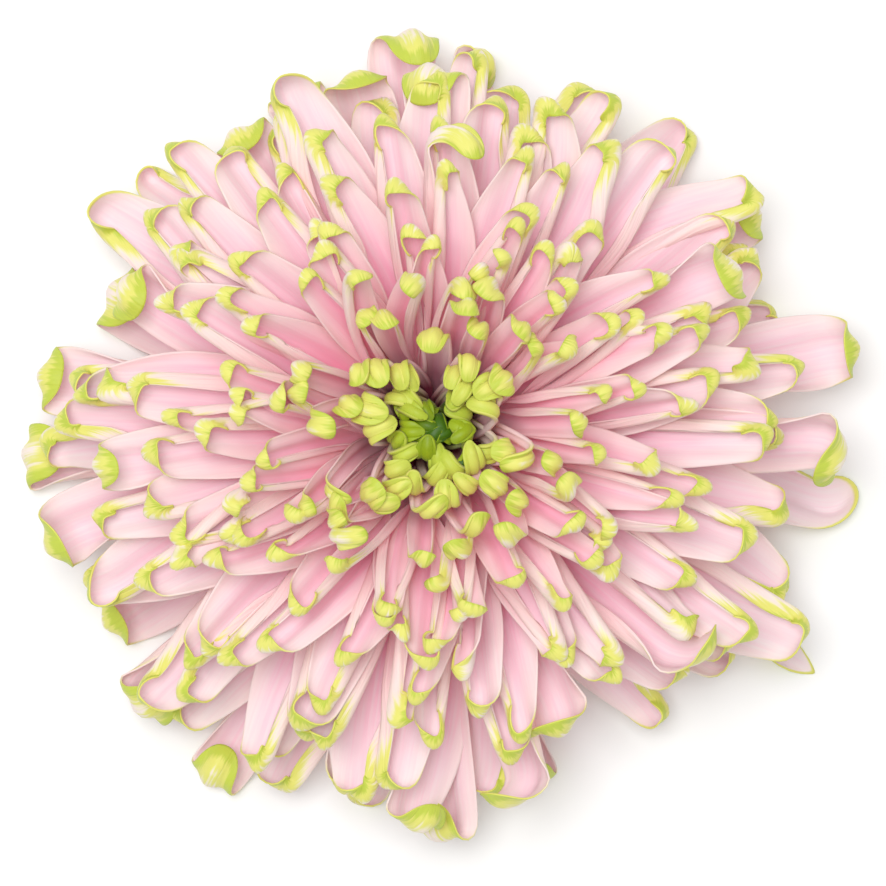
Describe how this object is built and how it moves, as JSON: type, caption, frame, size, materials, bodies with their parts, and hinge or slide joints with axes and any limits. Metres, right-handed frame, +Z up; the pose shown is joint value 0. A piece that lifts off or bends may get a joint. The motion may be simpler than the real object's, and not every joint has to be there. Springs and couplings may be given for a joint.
{
  "type": "pompon chrysanthemum",
  "caption": "Domed chrysanthemum bloom of hooked, channelled petals around a small incurved centre, cut below the head and lying face up.",
  "frame": {"origin": "middle of the flat cut end of the stem, on the surface that the bloom rests on", "axes": "+Z up along the bloom's axis, out of its centre; +X to the right and +Y to the top in the face-on view"},
  "size_m": [0.1119, 0.1078, 0.0462],
  "materials": {
    "ray_petal": "soft satin petal, pink shading to a yellow-green point",
    "centre_floret": "soft satin petal, yellow-green shading to deep green",
    "bract": "matte green leaf with a pale thin margin",
    "stem": "matte green stem with a pale cut end"
  },
  "bodies": {
    "root": {"ray_petals": "ray_petal", "centre_florets": "centre_floret", "involucre": "bract", "stem": "stem"}
  },
  "joints": []
}
